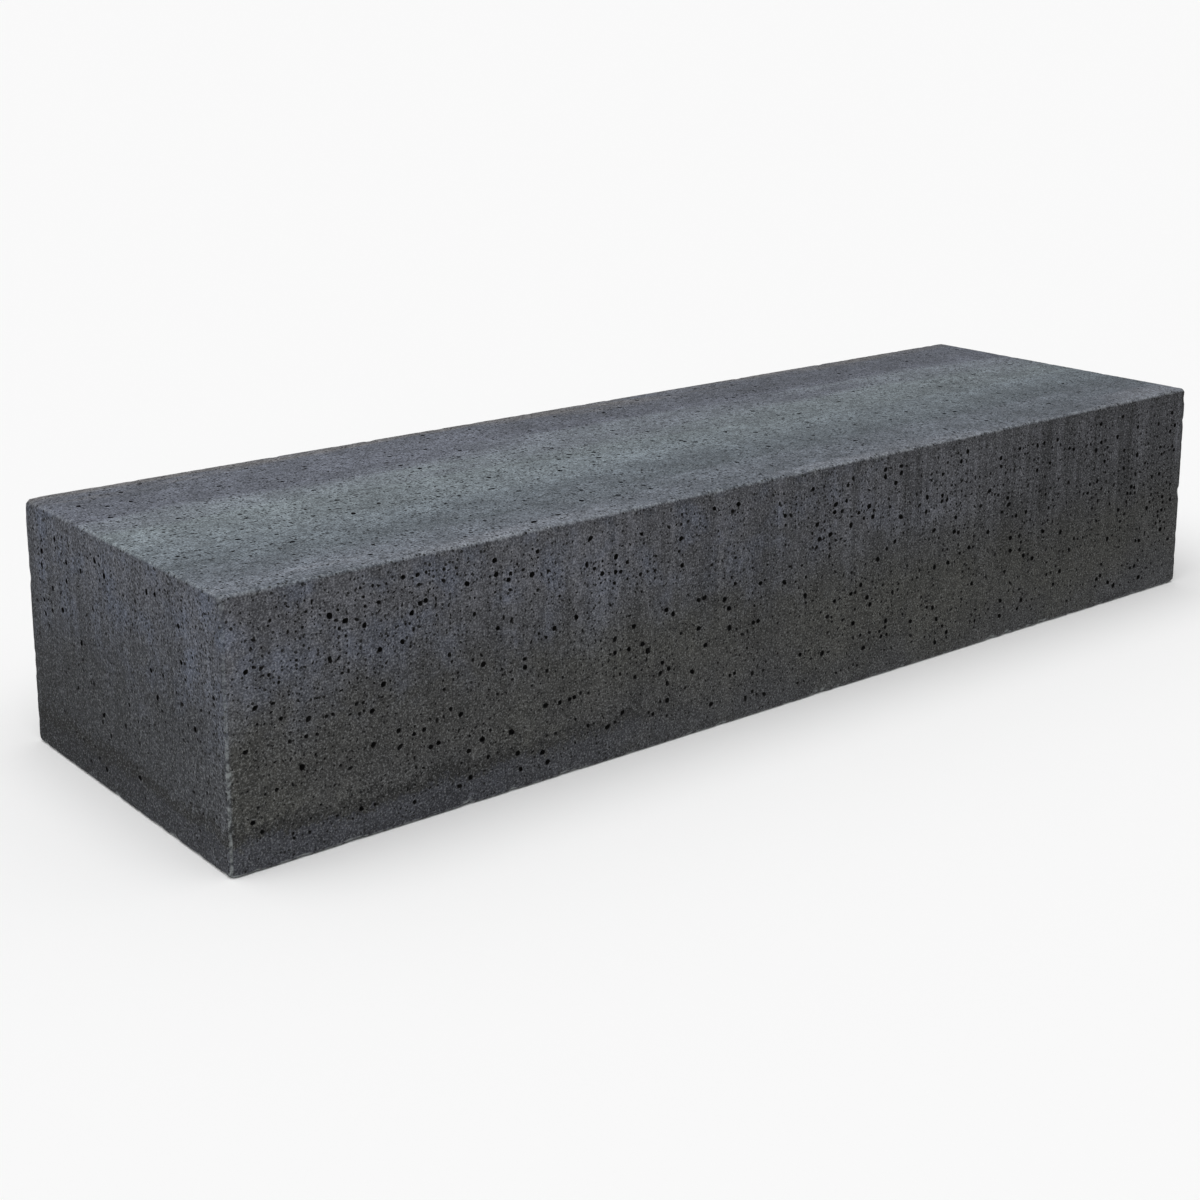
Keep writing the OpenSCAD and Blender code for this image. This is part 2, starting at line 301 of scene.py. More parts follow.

    # grains of sand showing pale, and small pores that the mesh leaves out, painted dark as the shade
    # inside them
    sand = addNode(tree, "ShaderNodeMapRange", {1: 0.54, 2: 0.65, 4: 0.46}, {0: grain}).outputs[0]
    colour = addNode(tree, "ShaderNodeMix", {
        "data_type": "RGBA", 7: srgb(settings["fleck"])}, {0: sand, 6: colour}).outputs[2]
    cell = addNode(tree, "ShaderNodeTexVoronoi", {
        "Scale": 1000 / settings["poreMm"]}, {"Vector": place}).outputs
    draw = addNode(tree, "ShaderNodeSeparateColor", None, {0: cell["Color"]}).outputs[0]
    shadedPore = addNode(tree, "ShaderNodeMapRange", {1: 0.1, 2: 1, 3: 0.07, 4: 0.4}, {0: draw}).outputs[0]
    porePatch = addNode(tree, "ShaderNodeMapRange", {1: 0.3, 2: 0.6, 3: 0.6, 4: 1}, {0: patch}).outputs[0]
    poreUp = addNode(tree, "ShaderNodeMapRange", {1: 0.1, 2: 0.8, 3: 0.88, 4: 1.05}, {0: up}).outputs[0]
    shadedPore = addNode(tree, "ShaderNodeMath", {"operation": "MULTIPLY"}, {0: shadedPore, 1: porePatch}).outputs[0]
    shadedPore = addNode(tree, "ShaderNodeMath", {"operation": "MULTIPLY"}, {0: shadedPore, 1: poreUp}).outputs[0]
    shadedPore = addNode(tree, "ShaderNodeMath", {
        "operation": "SUBTRACT"}, {0: shadedPore, 1: cell["Distance"]}).outputs[0]
    shadedPore = addNode(tree, "ShaderNodeMapRange", {
        "interpolation_type": "SMOOTHSTEP", 1: -0.02, 2: 0.05, 4: 0.92}, {0: shadedPore}).outputs[0]
    # the pores painted near black as their shade
    colour = addNode(tree, "ShaderNodeMix", {
        "data_type": "RGBA", 7: srgb(settings["pit"])}, {0: shadedPore, 6: colour}).outputs[2]

    # rubbed arrises, more so low down, then painted shade inside each air hole
    rub = addNode(tree, "ShaderNodeAttribute", {"attribute_name": "rub"}).outputs["Fac"]
    rub = addNode(tree, "ShaderNodeMapRange", {
        "interpolation_type": "SMOOTHSTEP", 1: 0.32, 2: 0.58}, {0: rub}).outputs[0]
    rubBroken = addNode(tree, "ShaderNodeMapRange", {
        1: 0.43, 2: 0.56, 3: 0.05, 4: 0.85}, {0: flock}).outputs[0]
    rubUp = addNode(tree, "ShaderNodeMapRange", {1: 0.3, 2: 0.8, 3: 1, 4: 0.25}, {0: up}).outputs[0]
    rub = addNode(tree, "ShaderNodeMath", {"operation": "MULTIPLY"}, {0: rub, 1: rubBroken}).outputs[0]
    rub = addNode(tree, "ShaderNodeMath", {"operation": "MULTIPLY"}, {0: rub, 1: rubUp}).outputs[0]
    colour = addNode(tree, "ShaderNodeMix", {
        "data_type": "RGBA", 7: srgb(settings["arris"])}, {0: rub, 6: colour}).outputs[2]
    # the air holes marked in the mesh, painted near black as the shade inside them
    pit = addNode(tree, "ShaderNodeAttribute", {"attribute_name": "pit"}).outputs["Fac"]
    pit = addNode(tree, "ShaderNodeMapRange", {
        "interpolation_type": "SMOOTHSTEP", 2: 0.3}, {0: pit}).outputs[0]
    colour = addNode(tree, "ShaderNodeMix", {
        "data_type": "RGBA", 7: srgb(settings["pit"])}, {0: pit, 6: colour}).outputs[2]

    # roughness and relief
    relief = addNode(tree, "ShaderNodeMath", {"operation": "ADD"}, {0: grain, 1: flock}).outputs[0]
    relief = addNode(tree, "ShaderNodeMath", {
        "operation": "MULTIPLY_ADD", 1: -1.7}, {0: shadedPore, 2: relief}).outputs[0]
    bump = addNode(tree, "ShaderNodeBump", {
        "Strength": 0.6, "Distance": 0.0009}, {"Height": relief}).outputs[0]
    rough = addNode(tree, "ShaderNodeMapRange", {1: 0.3, 2: 0.7, 3: 0.74, 4: 0.95}, {0: grain}).outputs[0]
    closeMaterial(tree, {"Specular IOR Level": 0.3}, {
        "Base Color": colour, "Roughness": rough, "Normal": bump})
    return material


blockSettings = {
    "seed": 7,
    "arrisRadius": 0.0055,
    "arrisSegments": 3,
    "cell": 0.0125,  # spacing of the net that the air holes are set on
    "stray": 0.29,  # how far a crossing strays, as a share of a cell
    "mouth": 0.0009,  # first size of every hole, before it gets its own
    "room": 0.44,  # how far a hole may reach, as a share of the way to the next one
    "holeSmall": 0.0014,  # least and largest radius of a hole
    "holeLarge": 0.0046,
    "topHoles": 0.9,  # size of the holes in the top against those in the sides
    "backHoles": 0.62,  # number of holes in the back against the front, to keep the mesh light
    "longShare": 0.3,  # share of the holes that are drawn out one way
    "long": (1.5, 2.4),  # how far those are drawn out, and the others
    "round": (1, 1.25),
    "depth": (0.9, 1.5),  # depth of a hole against its radius
    "shallow": 0.6,  # and of one in the top or the underside against that
    "wallFrom": 0.0034,  # a hole with a larger radius than this gets a wall
    "wallLean": 0.16,  # how far the wall leans in and goes down, as shares of the radius
    "wallDrop": 0.5,
    "wave": 0.0004,  # how far the faces may lie below true
    "chip": 0.003,  # about how deep the chips along an arris go
    "worn": 0.0085,  # how far from an arris the wear reaches
    "corner": 0.7,  # an edge that turns by more radians than this stays sharp
}
socketMouth = {
    "reach": 0.031,  # half of the square that the net gives up for it
    "top": 0.025,  # radius of the dish at the underside and at its bottom
    "bottom": 0.020,
    "dish": 0.010,
    "shaft": 0.0134,  # radius of the hole that the socket fills
    "deep": 0.1105,
}
spacerSeat = {"reach": 0.027, "half": 0.0201, "deep": 0.0436}
wheelRim = {"radius": 0.043, "reachX": 0.024, "reachZ": 0.014}  # no air hole within reach of a rim


def faceOf(place):  # which face a point lies on, or "arris"
    gap = 1e-5
    on = [
        name for name, distance in (
            ("front", place.y - blockLow.y), ("back", blockHigh.y - place.y),
            ("left", place.x - blockLow.x), ("right", blockHigh.x - place.x),
            ("under", place.z - blockLow.z), ("top", blockHigh.z - place.z),
        ) if distance < gap
    ]
    return on[0] if len(on) == 1 else "arris"


def nearArris(place):  # true of the rounded part, its borders included
    reach = blockSettings["arrisRadius"] * 1.1
    gaps = sorted(min(place[i] - blockLow[i], blockHigh[i] - place[i]) for i in range(3))
    return gaps[1] < reach


def outline(place, angle, kind, size):
    across = max(abs(math.cos(angle)), abs(math.sin(angle))) if kind == "square" else 1
    return place + Vector((math.cos(angle), math.sin(angle), 0)) * (size / across)


def sinkHole(bm, place, reach, steps):
    # a hole in the underside; each step gives its outline, size and height above the underside
    region = [
        f for f in bm.faces
        if f.normal.z < -0.99
        and max(abs(f.calc_center_median().x - place.x), abs(f.calc_center_median().y - place.y)) < reach
    ]
    mouth = bmesh.ops.dissolve_faces(bm, faces=region)["region"][0]
    bmesh.ops.inset_region(bm, faces=[mouth], thickness=0.001)
    for number, (kind, size, height) in enumerate(steps):
        if number:
            mouth = bmesh.ops.extrude_discrete_faces(bm, faces=[mouth])["faces"][0]
        for vert in mouth.verts:
            angle = math.atan2(vert.co.y - place.y, vert.co.x - place.x)
            vert.co = outline(Vector((place.x, place.y, height)), angle, kind, size)
        if kind == "square":
            for turn in range(4):
                corner = Vector((place.x, place.y, height)) + Matrix.Rotation(
                    turn * math.pi / 2, 3, "Z") @ Vector((size, size, 0))
                min(mouth.verts, key=lambda v: (v.co - corner).length).co = corner


def holeShare(place, face):  # share of the net's crossings that hold an air hole
    along = (place.x - blockLow.x) / blockLength
    across = (place.y - blockLow.y) / blockDepth
    up = (place.z - blockLow.z) / blockHeight
    clump = 0.5 + 1.1 * noise.noise(place * 22) + 0.5 * noise.noise(place * 7)
    if face in ("front", "back"):
        share = 0.34 + 0.42 * up - 0.2 * up * math.sin(math.pi * along) + 0.12 * along
        if face == "back":
            share *= blockSettings["backHoles"]
    elif face in ("left", "right"):
        share = 0.1 + 0.4 * up ** 2 + 0.3 * (1 - across) ** 3
    elif face == "top":
        share = 0.4 - 0.32 * along
    else:
        share = 0.01
    return share * max(0.3, 0.5 + clump)


def holeRadius(draw, place, face):
    small, large = blockSettings["holeSmall"], blockSettings["holeLarge"]
    along = (place.x - blockLow.x) / blockLength
    size = small + (large - small) * draw.random() ** (4.6 - 2.8 * along)
    return size * (blockSettings["topHoles"] if face == "top" else 1)


innerSpacer = 3 / 7  # how far out the inner spacers are, as a share of the outer ones' distance
wheelLow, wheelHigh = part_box("side_spacers")
wheelMiddle = (wheelLow.z + wheelHigh.z) / 2
wheelOuter = wheelHigh.x - wheelRim["radius"]


def nearSpacer(place):  # a wheel spacer's rim lies just under the skin here
    beside = min(abs(abs(place.x) - x) for x in (wheelOuter, wheelOuter * innerSpacer))
    return abs(place.z - wheelMiddle) < wheelRim["reachZ"] and beside < wheelRim["reachX"]


def makeBlock(settings, material):
    draw = random.Random(settings["seed"])
    bm = bmesh.new()
    # marks the air holes, which the concrete paints near black as their shade
    pit = bm.verts.layers.float.new("pit")
    rub = bm.verts.layers.float.new("rub")
    bmesh.ops.create_cube(bm, size=1, matrix=Matrix.Translation(blockMiddle) @ Matrix.Diagonal(
        (blockLength, blockDepth, blockHeight, 1)))
    bmesh.ops.bevel(
        bm, geom=bm.edges[:], offset=settings["arrisRadius"], segments=settings["arrisSegments"],
        profile=0.5, affect="EDGES", material=-1)
    for axis, length in enumerate((blockLength, blockDepth, blockHeight)):
        cuts = round(length / settings["cell"]) - 1
        bmesh.ops.subdivide_edges(bm, edges=longEdges(bm, axis, 0.1), cuts=cuts, use_grid_fill=True)
    for axis in range(3):  # the arrises get a finer net, for their chips
        worn = [e for e in longEdges(bm, axis, 0.005) if all(nearArris(v.co) for v in e.verts)]
        bmesh.ops.subdivide_edges(bm, edges=worn, cuts=1)
    print("block net:", len(bm.faces), "faces")

    mouth = socketMouth
    for name in ("lifting_socket_left", "lifting_socket_right"):
        low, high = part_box(name)
        sinkHole(bm, (low + high) / 2, mouth["reach"], (
            ("round", mouth["top"], 0), ("round", mouth["bottom"], mouth["dish"]),
            ("round", mouth["shaft"], mouth["dish"]), ("round", mouth["shaft"], mouth["deep"])))
    spacerLow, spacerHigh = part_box("bottom_spacers")
    seat = spacerSeat
    spread = (spacerHigh - spacerLow) / 2
    outer = spread.x - seat["half"]
    for x in (-outer, -outer * innerSpacer, outer * innerSpacer, outer):
        for y in (-spread.y + seat["half"], spread.y - seat["half"]):
            sinkHole(bm, Vector((x, y, 0)), seat["reach"], (
                ("square", seat["half"], 0), ("square", seat["half"], seat["deep"])))
    bm.normal_update()

    # the net strays from true, apart from its outer rows and round the sunk holes
    flat = {}
    for vert in bm.verts:
        face = faceOf(vert.co)
        faces = {faceOf(e.other_vert(vert).co) for e in vert.link_edges}
        if face != "arris" and faces == {face} and all(len(f.verts) == 4 for f in vert.link_faces):
            flat[vert] = face
    stray = settings["stray"] * settings["cell"]
    for vert, face in flat.items():
        step = Vector([draw.uniform(-stray, stray) for _ in range(3)])
        vert.co += step - step.project(vert.normal)

    # air holes
    holes = [
        v for v, face in flat.items()
        if draw.random() < holeShare(v.co, face) and not nearSpacer(v.co)
    ]
    made = set(bmesh.ops.bevel(
        bm, geom=holes, offset=settings["mouth"], offset_type="OFFSET", segments=2, profile=0.5,
        affect="VERTICES", clamp_overlap=False, material=-1)["faces"])
    bm.normal_update()
    centres = [v for v in bm.verts if v.link_faces and all(f in made for f in v.link_faces)]
    tree = kdtree.KDTree(len(centres))
    for number, vert in enumerate(centres):
        tree.insert(vert.co, number)
    tree.balance()
    deepFaces = {}
    for vert in centres:
        normal = vert.normal.copy()
        face = faceOf(vert.co)
        nearest = tree.find_n(vert.co, 2)[1][2]
        room = settings["room"] * min(nearest, settings["cell"])
        radius = min(holeRadius(draw, vert.co, face), room)
        stretch = draw.uniform(*settings["long" if draw.random() < settings["longShare"] else "round"])
        stretch = min(stretch, max(1, room / radius))
        lean = Matrix.Rotation(draw.uniform(0, math.pi), 3, normal) @ normal.orthogonal().normalized()
        ring = {v for f in vert.link_faces for v in f.verts} - {vert}
        for rim in sorted(ring, key=lambda v: [round(c, 5) for c in v.co]):  # the same order on every run
            way = (rim.co - vert.co).normalized() * radius * draw.uniform(0.82, 1.15)
            way += way.project(lean) * (stretch - 1)
            rim.co = vert.co + way
        depth = radius * draw.uniform(*settings["depth"])
        if face in ("top", "under"):
            depth *= settings["shallow"]
        vert.co -= normal * depth
        # the centre of the hole takes the full painted shade
        vert[pit] = 1
        if radius > settings["wallFrom"]:
            deepFaces.setdefault(round(radius * 2000), []).extend(vert.link_faces)  # by half millimetres
    print("air holes:", len(centres))

    # the larger ones have a wall
    for size, faces in sorted(deepFaces.items()):
        radius = size / 2000
        bmesh.ops.inset_region(
            bm, faces=faces, thickness=radius * settings["wallLean"],
            depth=-radius * settings["wallDrop"], use_boundary=True, use_even_offset=True)
        # the points of the wall take most of the painted shade too
        for vert in {v for f in faces for v in f.verts}:
            vert[pit] = max(vert[pit], 0.75)

    # the rims of the holes and the true corners stay sharp
    for face in bm.faces:
        face.smooth = True
    for edge in bm.edges:
        inner = [any(v[pit] > 0 for v in f.verts) for f in edge.link_faces]
        edge.smooth = inner[0] == inner[-1] and edge.calc_face_angle(0) < settings["corner"]

    # arrises are rubbed and chipped, and no face is quite true
    for vert in bm.verts:
        place = vert.co.copy()
        gaps = sorted((
            (min(place.x - blockLow.x, blockHigh.x - place.x), 0),
            (min(place.y - blockLow.y, blockHigh.y - place.y), 1),
            (blockHigh.z - place.z if place.z > blockHeight / 2 else place.z - blockLow.z, 2)))
        inward = Vector((-math.copysign(1, place.x), -math.copysign(1, place.y), 0))
        inward.z = -1 if place.z > blockHeight / 2 else 1
        edgeness, corner = (max(0.0, 1 - gap / settings["worn"]) for gap, _ in gaps[1:])
        if edgeness > 0:
            chip = max(0.0, noise.noise(place * 45) - 0.15) * 2.6
            chip += max(0.0, noise.noise(place * 120)) * 0.35
            amount = settings["chip"] * (0.12 + 0.9 * chip + 1.1 * corner) * edgeness
            push = Vector()
            for gap, axis in gaps[:3 if corner > 0 else 2]:
                push[axis] = inward[axis]
            vert.co += push * amount * 0.7
            vert[rub] = min(1.0, edgeness * (0.7 + 0.6 * chip) + corner)
        elif place.z > 1e-4:
            axis = gaps[0][1]
            depth = settings["wave"] * (0.5 + 0.5 * noise.noise(place * 9))
            vert.co[axis] += inward[axis] * depth
    print("block:", sum(len(f.verts) - 2 for f in bm.faces), "triangles")
    return makeObject(bm, "block_body", material)


concrete = makeConcrete(concreteSettings)
block = makeBlock(blockSettings, concrete)
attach(block, "root")
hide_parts("concrete_block")
print("block made")


barSettings = {
    "diameter": 0.012,
    "rib": 0.0009,  # height of a rib above the core
    "pitch": 0.0073,  # from one rib to the next
    "lean": 0.0022,  # how far a rib leans along the bar from its middle to its end
    "sides": 12,
}
gritMm = 0.9  # grain of the rust
steelFinishes = {
    "ribbedBar": {"scale": "43454b", "rust": "6e3d22", "pale": "a3663a", "rustFrom": 0.5, "patchMm": 22},
    "bentBar": {"scale": "3c3e44", "rust": "653620", "pale": "95592f", "rustFrom": 0.56, "patchMm": 14},
    "plainBar": {"scale": "494a4e", "rust": "744326", "pale": "ab6f42", "rustFrom": 0.47, "patchMm": 18},
}


def makeBarSteel(name, settings):
    # Hot-rolled reinforcing steel: blue-grey mill scale with a dull sheen, breaking up into brown
    # rust with a few orange blooms, rough where it has rusted.
    material, tree = newMaterial(name)
    place = addNode(tree, "ShaderNodeTexCoord").outputs["Object"]
    patch = addNode(tree, "ShaderNodeTexNoise", {
        "Scale": 1000 / settings["patchMm"], "Detail": 6, "Roughness": 0.65}, {"Vector": place}).outputs[0]
    grit = addNode(tree, "ShaderNodeTexNoise", {
        "Scale": 1000 / gritMm, "Detail": 3, "Roughness": 0.7}, {"Vector": place}).outputs[0]
    rusted = addNode(tree, "ShaderNodeMapRange", {
        "interpolation_type": "SMOOTHSTEP", 1: settings["rustFrom"] - 0.08, 2: settings["rustFrom"] + 0.08,
    }, {0: patch}).outputs[0]
    bloom = addNode(tree, "ShaderNodeMapRange", {1: 0.42, 2: 0.66}, {0: grit}).outputs[0]
    rust = addNode(tree, "ShaderNodeMix", {
        "data_type": "RGBA", 6: srgb(settings["rust"]), 7: srgb(settings["pale"])}, {0: bloom}).outputs[2]
    gain = addNode(tree, "ShaderNodeMapRange", {1: 0.3, 2: 0.7, 3: 0.7, 4: 1.3}, {0: grit}).outputs[0]
    scale = addNode(tree, "ShaderNodeMix", {
        "data_type": "RGBA", "blend_type": "MULTIPLY", 0: 1.0, 6: srgb(settings["scale"]),
    }, {7: gain}).outputs[2]
    colour = addNode(tree, "ShaderNodeMix", {
        "data_type": "RGBA"}, {0: rusted, 6: scale, 7: rust}).outputs[2]
    metal = addNode(tree, "ShaderNodeMapRange", {3: 0.75, 4: 0.0}, {0: rusted}).outputs[0]
    rough = addNode(tree, "ShaderNodeMapRange", {3: 0.48, 4: 0.9}, {0: rusted}).outputs[0]
    relief = addNode(tree, "ShaderNodeMath", {"operation": "MULTIPLY"}, {0: rusted, 1: grit}).outputs[0]
    bump = addNode(tree, "ShaderNodeBump", {"Strength": 0.5, "Distance": 0.0004}, {"Height": relief})
    closeMaterial(tree, {}, {
        "Base Color": colour, "Metallic": metal, "Roughness": rough, "Normal": bump.outputs[0]})
    return material


def makeRibbedBar(name, node, settings, material):
    # a round core with two rows of crescent ribs and a plain seam along each side
    low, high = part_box(node)
    middle, length = (low + high) / 2, high.x - low.x
    steps = round(length / settings["pitch"]) * 2
    core = settings["diameter"] / 2 - settings["rib"] / 2
    bm = bmesh.new()
    bmesh.ops.create_cone(
        bm, cap_ends=True, segments=settings["sides"], radius1=core, radius2=core, depth=length,
        matrix=Matrix.Rotation(math.pi / 2, 4, "Y"))
    bmesh.ops.subdivide_edges(bm, edges=longEdges(bm, 0, length / 2), cuts=steps - 1)
    for vert in bm.verts:
        number = round((vert.co.x + length / 2) / length * steps)
        angle = math.atan2(vert.co.z, vert.co.y)
        swell = abs(math.sin(angle)) ** 0.7
        if 0 < number < steps:
            vert.co.x += settings["lean"] * math.cos(angle) * math.copysign(1, vert.co.z)
            if number % 2:
                vert.co += Vector((0, math.cos(angle), math.sin(angle))) * settings["rib"] * swell
        if swell < 0.5:  # the seams
            vert.co += Vector((0, math.cos(angle), math.sin(angle))) * settings["rib"] * 0.6
        vert.co += middle
    for face in bm.faces:
        face.smooth = abs(face.normal.x) < 0.9
    bar = makeObject(bm, name, material)
    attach(bar, "root")
    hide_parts(node)


steels = {name: makeBarSteel(name + "Steel", finish) for name, finish in steelFinishes.items()}
for layer in ("bottom", "top"):
    for number in range(1, 5):
        node = f"{layer}_bar_{number}"
        makeRibbedBar("ribbed_" + node, node, barSettings, steels["ribbedBar"])
print("bars made")


wireSettings = {"colour": "2e2d2f", "pale": "57504a", "drawMm": 0.5, "patchMm": 6}
plasticSettings = {"colour": "8f9396", "dark": "7b7f83", "grainMm": 0.6, "flowMm": 25}
fibreSettings = {
    "colour": "a3a19a", "dark": "7f7d77", "fibre": "c9c6bc", "shadedPore": "3b3a37",
    "grainMm": 1.5, "fibreMm": 3, "poreMm": 4,
}
zincSettings = {
    "colour": "b9bdc2", "tint": "b7a878", "dull": "83868a", "patchMm": 9, "grainMm": 0.7,
    "pitchMm": 2.5,  # of the thread
    "bore": 0.0105,  # radius of the thread
    "boreSoft": 0.0003,
}


def makeWire(settings):
    # Annealed tie wire: nearly black oxide with a faint oily sheen and drawing lines.
    material, tree = newMaterial("annealedIronWire")
    place = addNode(tree, "ShaderNodeTexCoord").outputs["Object"]
    lines = addNode(tree, "ShaderNodeTexNoise", {
        "Scale": 1000 / settings["drawMm"], "Detail": 3, "Roughness": 0.6}, {"Vector": place}).outputs[0]
    patch = addNode(tree, "ShaderNodeTexNoise", {
        "Scale": 1000 / settings["patchMm"], "Detail": 4}, {"Vector": place}).outputs[0]
    worn = addNode(tree, "ShaderNodeMapRange", {1: 0.45, 2: 0.7}, {0: patch}).outputs[0]
    colour = addNode(tree, "ShaderNodeMix", {
        "data_type": "RGBA", 6: srgb(settings["colour"]), 7: srgb(settings["pale"])}, {0: worn}).outputs[2]
    rough = addNode(tree, "ShaderNodeMapRange", {1: 0.3, 2: 0.7, 3: 0.35, 4: 0.62}, {0: lines}).outputs[0]
    bump = addNode(tree, "ShaderNodeBump", {"Strength": 0.3, "Distance": 0.0001}, {"Height": lines})
    closeMaterial(tree, {"Metallic": 0.85}, {
        "Base Color": colour, "Roughness": rough, "Normal": bump.outputs[0]})
    return material


def makePlastic(settings):
    # Moulded recycled polyethylene: grey, slightly waxy, with faint flow marks and a spark-eroded grain.
    material, tree = newMaterial("mouldedPolyethyleneGrey")
    place = addNode(tree, "ShaderNodeTexCoord").outputs["Object"]
    flow = addNode(tree, "ShaderNodeTexNoise", {
        "Scale": 1000 / settings["flowMm"], "Detail": 4, "Distortion": 1.5}, {"Vector": place}).outputs[0]
    grain = addNode(tree, "ShaderNodeTexNoise", {
        "Scale": 1000 / settings["grainMm"], "Detail": 2}, {"Vector": place}).outputs[0]
    shade = addNode(tree, "ShaderNodeMapRange", {1: 0.35, 2: 0.65}, {0: flow}).outputs[0]
    colour = addNode(tree, "ShaderNodeMix", {
        "data_type": "RGBA", 6: srgb(settings["colour"]), 7: srgb(settings["dark"])}, {0: shade}).outputs[2]
    rough = addNode(tree, "ShaderNodeMapRange", {1: 0.3, 2: 0.7, 3: 0.38, 4: 0.55}, {0: grain}).outputs[0]
    bump = addNode(tree, "ShaderNodeBump", {"Strength": 0.25, "Distance": 0.0001}, {"Height": grain})
    closeMaterial(tree, {"IOR": 1.5}, {"Base Color": colour, "Roughness": rough, "Normal": bump.outputs[0]})
    return material


def makeFibreConcrete(settings):
    # Extruded fibre concrete: pale grey cement with short pale fibres and small pores, dry and matt; the
    # pores are painted dark as the shade inside them.
    material, tree = newMaterial("extrudedFibreConcrete")
    place = addNode(tree, "ShaderNodeTexCoord").outputs["Object"]
    grain = addNode(tree, "ShaderNodeTexNoise", {
        "Scale": 1000 / settings["grainMm"], "Detail": 4, "Roughness": 0.7}, {"Vector": place}).outputs[0]
    shade = addNode(tree, "ShaderNodeMapRange", {1: 0.35, 2: 0.65}, {0: grain}).outputs[0]
    colour = addNode(tree, "ShaderNodeMix", {
        "data_type": "RGBA", 6: srgb(settings["dark"]), 7: srgb(settings["colour"])}, {0: shade}).outputs[2]
    drawn = addNode(tree, "ShaderNodeMapping", {"Scale": (0.2, 1, 1)}, {0: place}).outputs[0]
    fibre = addNode(tree, "ShaderNodeTexNoise", {
        "Scale": 1000 / settings["fibreMm"], "Detail": 2}, {"Vector": drawn}).outputs[0]
    fibreMask = addNode(tree, "ShaderNodeMapRange", {1: 0.62, 2: 0.68}, {0: fibre}).outputs[0]
    colour = addNode(tree, "ShaderNodeMix", {
        "data_type": "RGBA", 7: srgb(settings["fibre"])}, {0: fibreMask, 6: colour}).outputs[2]
    pores = addNode(tree, "ShaderNodeTexVoronoi", {
        "Scale": 1000 / settings["poreMm"]}, {"Vector": place}).outputs["Distance"]
    hollow = addNode(tree, "ShaderNodeMapRange", {1: 0.08, 2: 0.16}, {0: pores}).outputs[0]
    # painted shade in the pores
    colour = addNode(tree, "ShaderNodeMix", {
        "data_type": "RGBA", 6: srgb(settings["shadedPore"])}, {0: hollow, 7: colour}).outputs[2]
    relief = addNode(tree, "ShaderNodeMath", {"operation": "ADD"}, {0: hollow, 1: grain}).outputs[0]
    bump = addNode(tree, "ShaderNodeBump", {"Strength": 0.5, "Distance": 0.0005}, {"Height": relief})
    rough = addNode(tree, "ShaderNodeMapRange", {1: 0.3, 2: 0.7, 3: 0.8, 4: 0.97}, {0: grain}).outputs[0]
    closeMaterial(tree, {"Specular IOR Level": 0.3}, {
        "Base Color": colour, "Roughness": rough, "Normal": bump.outputs[0]})
    return material


def makeZincSteel(settings):
    # Turned steel with electroplated zinc: a cool bright metal with yellowish passivation and duller
    # patches. The thread shows as rings in the bore, one to each pitch.
    material, tree = newMaterial("zincPlatedSteel")
    place = addNode(tree, "ShaderNodeTexCoord").outputs["Object"]
    patch = addNode(tree, "ShaderNodeTexNoise", {
        "Scale": 1000 / settings["patchMm"], "Detail": 5, "Roughness": 0.6}, {"Vector": place}).outputs[0]
    grain = addNode(tree, "ShaderNodeTexNoise", {
        "Scale": 1000 / settings["grainMm"], "Detail": 2}, {"Vector": place}).outputs[0]
    dull = addNode(tree, "ShaderNodeMapRange", {1: 0.45, 2: 0.7}, {0: patch}).outputs[0]
    tint = addNode(tree, "ShaderNodeMapRange", {1: 0.5, 2: 0.3, 4: 0.5}, {0: patch}).outputs[0]
    colour = addNode(tree, "ShaderNodeMix", {
        "data_type": "RGBA", 6: srgb(settings["colour"]), 7: srgb(settings["dull"])}, {0: dull}).outputs[2]
    colour = addNode(tree, "ShaderNodeMix", {
        "data_type": "RGBA", 7: srgb(settings["tint"])}, {0: tint, 6: colour}).outputs[2]
    rough = addNode(tree, "ShaderNodeMapRange", {3: 0.28, 4: 0.55}, {0: dull}).outputs[0]

    axes = addNode(tree, "ShaderNodeSeparateXYZ", None, {0: place}).outputs
    fromMiddle = addNode(tree, "ShaderNodeMath", {"operation": "ABSOLUTE"}, {0: axes[0]}).outputs[0]
    fromMiddle = addNode(tree, "ShaderNodeMath", {
        "operation": "SUBTRACT", 1: socketX}, {0: fromMiddle}).outputs[0]
    flat = addNode(tree, "ShaderNodeCombineXYZ", None, {0: fromMiddle, 1: axes[1]}).outputs[0]
    radius = addNode(tree, "ShaderNodeVectorMath", {"operation": "LENGTH"}, {0: flat}).outputs["Value"]
    bore = addNode(tree, "ShaderNodeMapRange", {
        1: settings["bore"] + settings["boreSoft"], 2: settings["bore"] - settings["boreSoft"],
    }, {0: radius}).outputs[0]
    turn = addNode(tree, "ShaderNodeMath", {
        "operation": "MULTIPLY", 1: 1000 / settings["pitchMm"] * 2 * math.pi}, {0: axes[2]}).outputs[0]
    thread = addNode(tree, "ShaderNodeMath", {"operation": "SINE"}, {0: turn}).outputs[0]
    thread = addNode(tree, "ShaderNodeMath", {"operation": "MULTIPLY"}, {0: thread, 1: bore}).outputs[0]
    relief = addNode(tree, "ShaderNodeMath", {
        "operation": "MULTIPLY_ADD", 1: 0.06}, {0: grain, 2: thread}).outputs[0]
    bump = addNode(tree, "ShaderNodeBump", {"Strength": 0.8, "Distance": 0.0008}, {"Height": relief})
    closeMaterial(tree, {"Metallic": 1.0}, {
        "Base Color": colour, "Roughness": rough, "Normal": bump.outputs[0]})
    return material


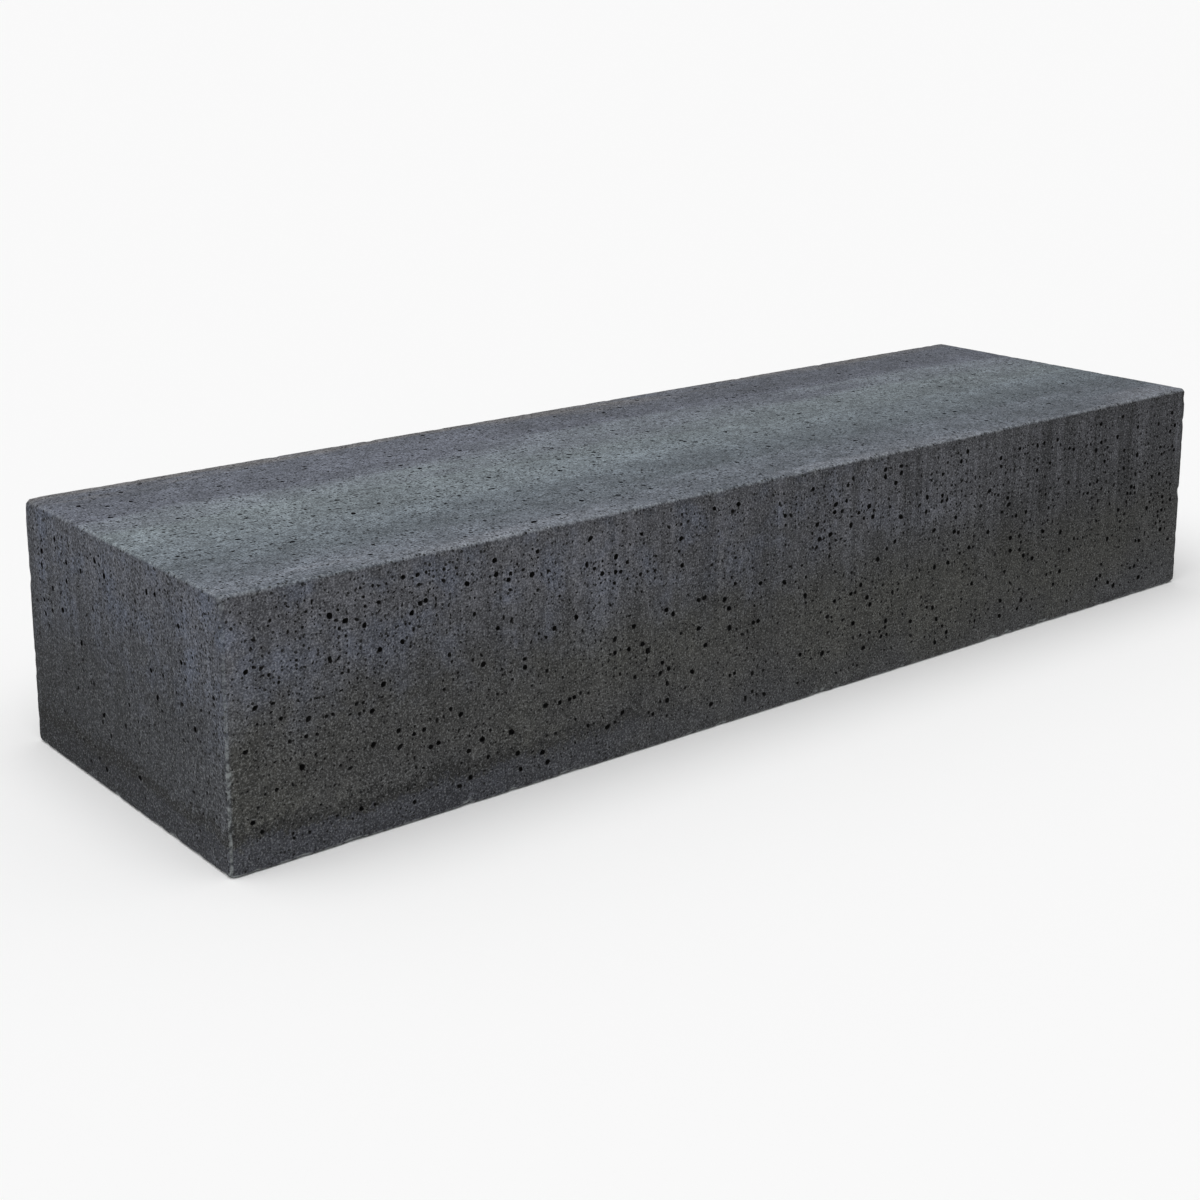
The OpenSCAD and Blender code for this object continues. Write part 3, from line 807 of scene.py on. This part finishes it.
socketLow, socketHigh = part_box("lifting_socket_right")
socketX = (socketLow.x + socketHigh.x) / 2
nodeFinishes = {
    "stirrup": steels["bentBar"], "cap_tie": steels["bentBar"], "socket_cross_bar": steels["plainBar"],
    "tie_wires": makeWire(wireSettings), "side_spacers": makePlastic(plasticSettings),
    "bottom_spacers": makeFibreConcrete(fibreSettings), "lifting_socket": makeZincSteel(zincSettings),
}
for name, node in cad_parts.items():
    for start, material in nodeFinishes.items():
        if name.startswith(start):
            for holder in node.material_slots:
                holder.material = material
print("finishes set")


stageSettings = {
    "floor": "fafafa",
    "floorSize": 400,
    "horizon": 0.14,  # brightness of the studio low down and overhead
    "zenith": 0.5,
    "seen": 1.0,
    "sunPower": 2.05,
    "sunSpread": 70,  # degrees, a broad soft lamp
    "sunFrom": (-0.32, -0.16, 1),
}


def makeStage(settings):
    bm = bmesh.new()
    bmesh.ops.create_grid(bm, x_segments=1, y_segments=1, size=settings["floorSize"] / 2)
    material, tree = newMaterial("paleFloor")
    closeMaterial(tree, {
        "Base Color": srgb(settings["floor"]), "Roughness": 0.9, "Specular IOR Level": 0.0}, {})
    floor = makeObject(bm, "floor", material)

    world = bpy.data.worlds.new("studio")
    bpy.context.scene.world = world
    world.use_nodes = True
    tree = world.node_tree
    tree.nodes.clear()
    ray = addNode(tree, "ShaderNodeTexCoord").outputs["Generated"]
    rise = addNode(tree, "ShaderNodeSeparateXYZ", None, {0: ray}).outputs[2]
    light = addNode(tree, "ShaderNodeMapRange", {
        1: 0, 2: 1, 3: settings["horizon"], 4: settings["zenith"],
    }, {0: rise}).outputs[0]
    seen = addNode(tree, "ShaderNodeLightPath").outputs["Is Camera Ray"]
    strength = addNode(tree, "ShaderNodeMix", {
        "data_type": "FLOAT", 3: settings["seen"],
    }, {0: seen, 2: light}).outputs[0]
    sky = addNode(tree, "ShaderNodeBackground", {"Color": (1, 1, 1, 1)}, {"Strength": strength})
    addNode(tree, "ShaderNodeOutputWorld", None, {"Surface": sky.outputs[0]})

    lamp = bpy.data.lights.new("overhead", "SUN")
    lamp.energy = settings["sunPower"]
    lamp.angle = math.radians(settings["sunSpread"])
    light = bpy.data.objects.new("overhead", lamp)
    light.rotation_mode = "QUATERNION"
    light.rotation_quaternion = Vector(settings["sunFrom"]).to_track_quat("Z", "Y")
    bpy.context.scene.collection.objects.link(light)
    bpy.context.scene.view_settings.view_transform = "Standard"


makeStage(stageSettings)
print("stage set")
